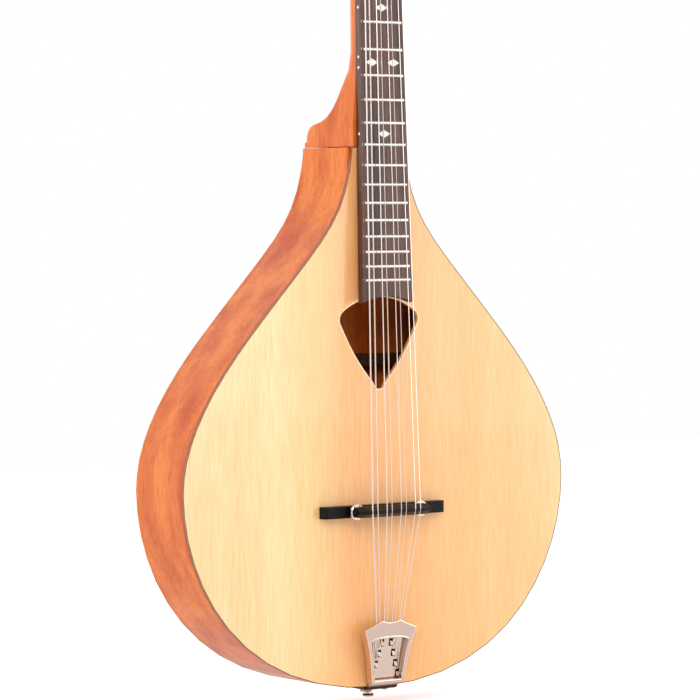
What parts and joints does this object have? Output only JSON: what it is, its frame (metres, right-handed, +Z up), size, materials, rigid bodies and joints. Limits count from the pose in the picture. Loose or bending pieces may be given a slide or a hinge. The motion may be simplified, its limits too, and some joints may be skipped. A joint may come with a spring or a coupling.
{
  "type": "irish bouzouki",
  "caption": "Long-necked plucked instrument with a teardrop body, plectrum-shaped soundhole, double string courses, floating bridge with height wheels, tailpiece and geared tuners.",
  "frame": {"origin": "at the nut, on the centre line, in the glue plane between neck and fingerboard, where a wall hanger's yoke carries the headstock", "axes": "+Z up along the neck to the headstock, -Y out of the soundboard towards the strings, -X the bass side"},
  "size_m": [0.361, 0.0897, 0.9721],
  "materials": {
    "spruce_top": "clear gloss varnish over fine straight grain",
    "mahogany_gloss": "high gloss orange-brown varnish",
    "inner_wood": "bare sanded",
    "rosewood": "oiled, low gloss",
    "ebony": "satin black",
    "bone": "polished bone",
    "nickel": "polished nickel plate",
    "chrome": "mirror chrome",
    "steel": "turned steel",
    "string_steel": "drawn and wound wire",
    "pearloid": "pearl-like cream plastic"
  },
  "bodies": {
    "instrument": {"soundboard": "spruce_top", "neck": "mahogany_gloss", "heel_cap": "mahogany_gloss", "side_bass": "mahogany_gloss", "side_treble": "mahogany_gloss", "back_plate": "mahogany_gloss", "fingerboard_support": "mahogany_gloss", "neck_block": "inner_wood", "tail_block": "inner_wood", "top_brace_upper": "inner_wood", "top_brace_lower": "inner_wood", "back_brace_upper": "inner_wood", "back_brace_lower": "inner_wood", "lining_top_bass": "inner_wood", "lining_top_treble": "inner_wood", "lining_back_bass": "inner_wood", "lining_back_treble": "inner_wood", "fingerboard": "rosewood", "headstock_veneer": "rosewood", "bridge_base": "ebony", "truss_rod_cover": "ebony", "nut": "bone", "tailpiece_frame": "nickel", "tailpiece_hook_plate": "nickel", "end_pin": "nickel", "tailpiece_screw_1": "nickel", "tailpiece_screw_2": "nickel", "tailpiece_screw_3": "nickel", "tuner_plate_bass": "nickel", "tuner_plate_treble": "nickel", "bridge_post_bass": "steel", "bridge_post_treble": "steel", "truss_rod": "steel", "string_1": "string_steel", "string_2": "string_steel", "string_3": "string_steel", "string_4": "string_steel", "string_5": "string_steel", "string_6": "string_steel", "string_7": "string_steel", "string_8": "string_steel"},
    "saddle": {"bridge_saddle": "ebony"},
    "thumbwheel_bass": {"thumbwheel_bass": "chrome"},
    "thumbwheel_treble": {"thumbwheel_treble": "chrome"},
    "tuner_button_bass_1": {"tuner_button_bass_1": "pearloid"},
    "tuner_post_bass_1": {"tuner_post_bass_1": "nickel"},
    "tuner_button_bass_2": {"tuner_button_bass_2": "pearloid"},
    "tuner_post_bass_2": {"tuner_post_bass_2": "nickel"},
    "tuner_button_bass_3": {"tuner_button_bass_3": "pearloid"},
    "tuner_post_bass_3": {"tuner_post_bass_3": "nickel"},
    "tuner_button_bass_4": {"tuner_button_bass_4": "pearloid"},
    "tuner_post_bass_4": {"tuner_post_bass_4": "nickel"},
    "tuner_button_treble_1": {"tuner_button_treble_1": "pearloid"},
    "tuner_post_treble_1": {"tuner_post_treble_1": "nickel"},
    "tuner_button_treble_2": {"tuner_button_treble_2": "pearloid"},
    "tuner_post_treble_2": {"tuner_post_treble_2": "nickel"},
    "tuner_button_treble_3": {"tuner_button_treble_3": "pearloid"},
    "tuner_post_treble_3": {"tuner_post_treble_3": "nickel"},
    "tuner_button_treble_4": {"tuner_button_treble_4": "pearloid"},
    "tuner_post_treble_4": {"tuner_post_treble_4": "nickel"}
  },
  "joints": [
    {"name": "saddle_height", "type": "slide", "parent": "instrument", "child": "saddle", "axis": [0, -0.9995, -0.0332], "range_m": [-0.0026, 0]},
    {"name": "thumbwheel_bass_turn", "type": "hinge", "parent": "saddle", "child": "thumbwheel_bass", "pos_m": [-0.0302, -0.00164, -0.66024], "axis": [0, -0.9995, -0.0332], "range_deg": [-1335, 0]},
    {"name": "thumbwheel_treble_turn", "type": "hinge", "parent": "saddle", "child": "thumbwheel_treble", "pos_m": [0.0302, -0.00164, -0.66024], "axis": [0, -0.9995, -0.0332], "range_deg": [-1335, 0]},
    {"name": "button_bass_1_turn", "type": "hinge", "parent": "instrument", "child": "tuner_button_bass_1", "pos_m": [-0.0185, 0.02999, 0.04897], "axis": [-1, 0, 0], "continuous": true},
    {"name": "post_bass_1_turn", "type": "hinge", "parent": "instrument", "child": "tuner_post_bass_1", "pos_m": [-0.0185, 0.009, 0.04428], "axis": [0, 0.9744, -0.225], "continuous": true},
    {"name": "button_bass_2_turn", "type": "hinge", "parent": "instrument", "child": "tuner_button_bass_2", "pos_m": [-0.0185, 0.03652, 0.07723], "axis": [-1, 0, 0], "continuous": true},
    {"name": "post_bass_2_turn", "type": "hinge", "parent": "instrument", "child": "tuner_post_bass_2", "pos_m": [-0.0185, 0.01552, 0.07253], "axis": [0, 0.9744, -0.225], "continuous": true},
    {"name": "button_bass_3_turn", "type": "hinge", "parent": "instrument", "child": "tuner_button_bass_3", "pos_m": [-0.0185, 0.04304, 0.10549], "axis": [-1, 0, 0], "continuous": true},
    {"name": "post_bass_3_turn", "type": "hinge", "parent": "instrument", "child": "tuner_post_bass_3", "pos_m": [-0.0185, 0.02204, 0.10079], "axis": [0, 0.9744, -0.225], "continuous": true},
    {"name": "button_bass_4_turn", "type": "hinge", "parent": "instrument", "child": "tuner_button_bass_4", "pos_m": [-0.0185, 0.04956, 0.13374], "axis": [-1, 0, 0], "continuous": true},
    {"name": "post_bass_4_turn", "type": "hinge", "parent": "instrument", "child": "tuner_post_bass_4", "pos_m": [-0.0185, 0.02857, 0.12904], "axis": [0, 0.9744, -0.225], "continuous": true},
    {"name": "button_treble_1_turn", "type": "hinge", "parent": "instrument", "child": "tuner_button_treble_1", "pos_m": [0.0185, 0.02999, 0.04897], "axis": [1, 0, 0], "continuous": true},
    {"name": "post_treble_1_turn", "type": "hinge", "parent": "instrument", "child": "tuner_post_treble_1", "pos_m": [0.0185, 0.009, 0.04428], "axis": [0, 0.9744, -0.225], "continuous": true},
    {"name": "button_treble_2_turn", "type": "hinge", "parent": "instrument", "child": "tuner_button_treble_2", "pos_m": [0.0185, 0.03652, 0.07723], "axis": [1, 0, 0], "continuous": true},
    {"name": "post_treble_2_turn", "type": "hinge", "parent": "instrument", "child": "tuner_post_treble_2", "pos_m": [0.0185, 0.01552, 0.07253], "axis": [0, 0.9744, -0.225], "continuous": true},
    {"name": "button_treble_3_turn", "type": "hinge", "parent": "instrument", "child": "tuner_button_treble_3", "pos_m": [0.0185, 0.04304, 0.10549], "axis": [1, 0, 0], "continuous": true},
    {"name": "post_treble_3_turn", "type": "hinge", "parent": "instrument", "child": "tuner_post_treble_3", "pos_m": [0.0185, 0.02204, 0.10079], "axis": [0, 0.9744, -0.225], "continuous": true},
    {"name": "button_treble_4_turn", "type": "hinge", "parent": "instrument", "child": "tuner_button_treble_4", "pos_m": [0.0185, 0.04956, 0.13374], "axis": [1, 0, 0], "continuous": true},
    {"name": "post_treble_4_turn", "type": "hinge", "parent": "instrument", "child": "tuner_post_treble_4", "pos_m": [0.0185, 0.02857, 0.12904], "axis": [0, 0.9744, -0.225], "continuous": true}
  ],
  "couplings": [
    {"joint": "saddle_height", "follows": "thumbwheel_bass_turn", "m_per_rad": 0.00011141},
    {"joint": "thumbwheel_treble_turn", "follows": "thumbwheel_bass_turn", "ratio": 1},
    {"joint": "post_bass_1_turn", "follows": "button_bass_1_turn", "ratio": -0.071429},
    {"joint": "post_bass_2_turn", "follows": "button_bass_2_turn", "ratio": -0.071429},
    {"joint": "post_bass_3_turn", "follows": "button_bass_3_turn", "ratio": -0.071429},
    {"joint": "post_bass_4_turn", "follows": "button_bass_4_turn", "ratio": -0.071429},
    {"joint": "post_treble_1_turn", "follows": "button_treble_1_turn", "ratio": 0.071429},
    {"joint": "post_treble_2_turn", "follows": "button_treble_2_turn", "ratio": 0.071429},
    {"joint": "post_treble_3_turn", "follows": "button_treble_3_turn", "ratio": 0.071429},
    {"joint": "post_treble_4_turn", "follows": "button_treble_4_turn", "ratio": 0.071429}
  ]
}
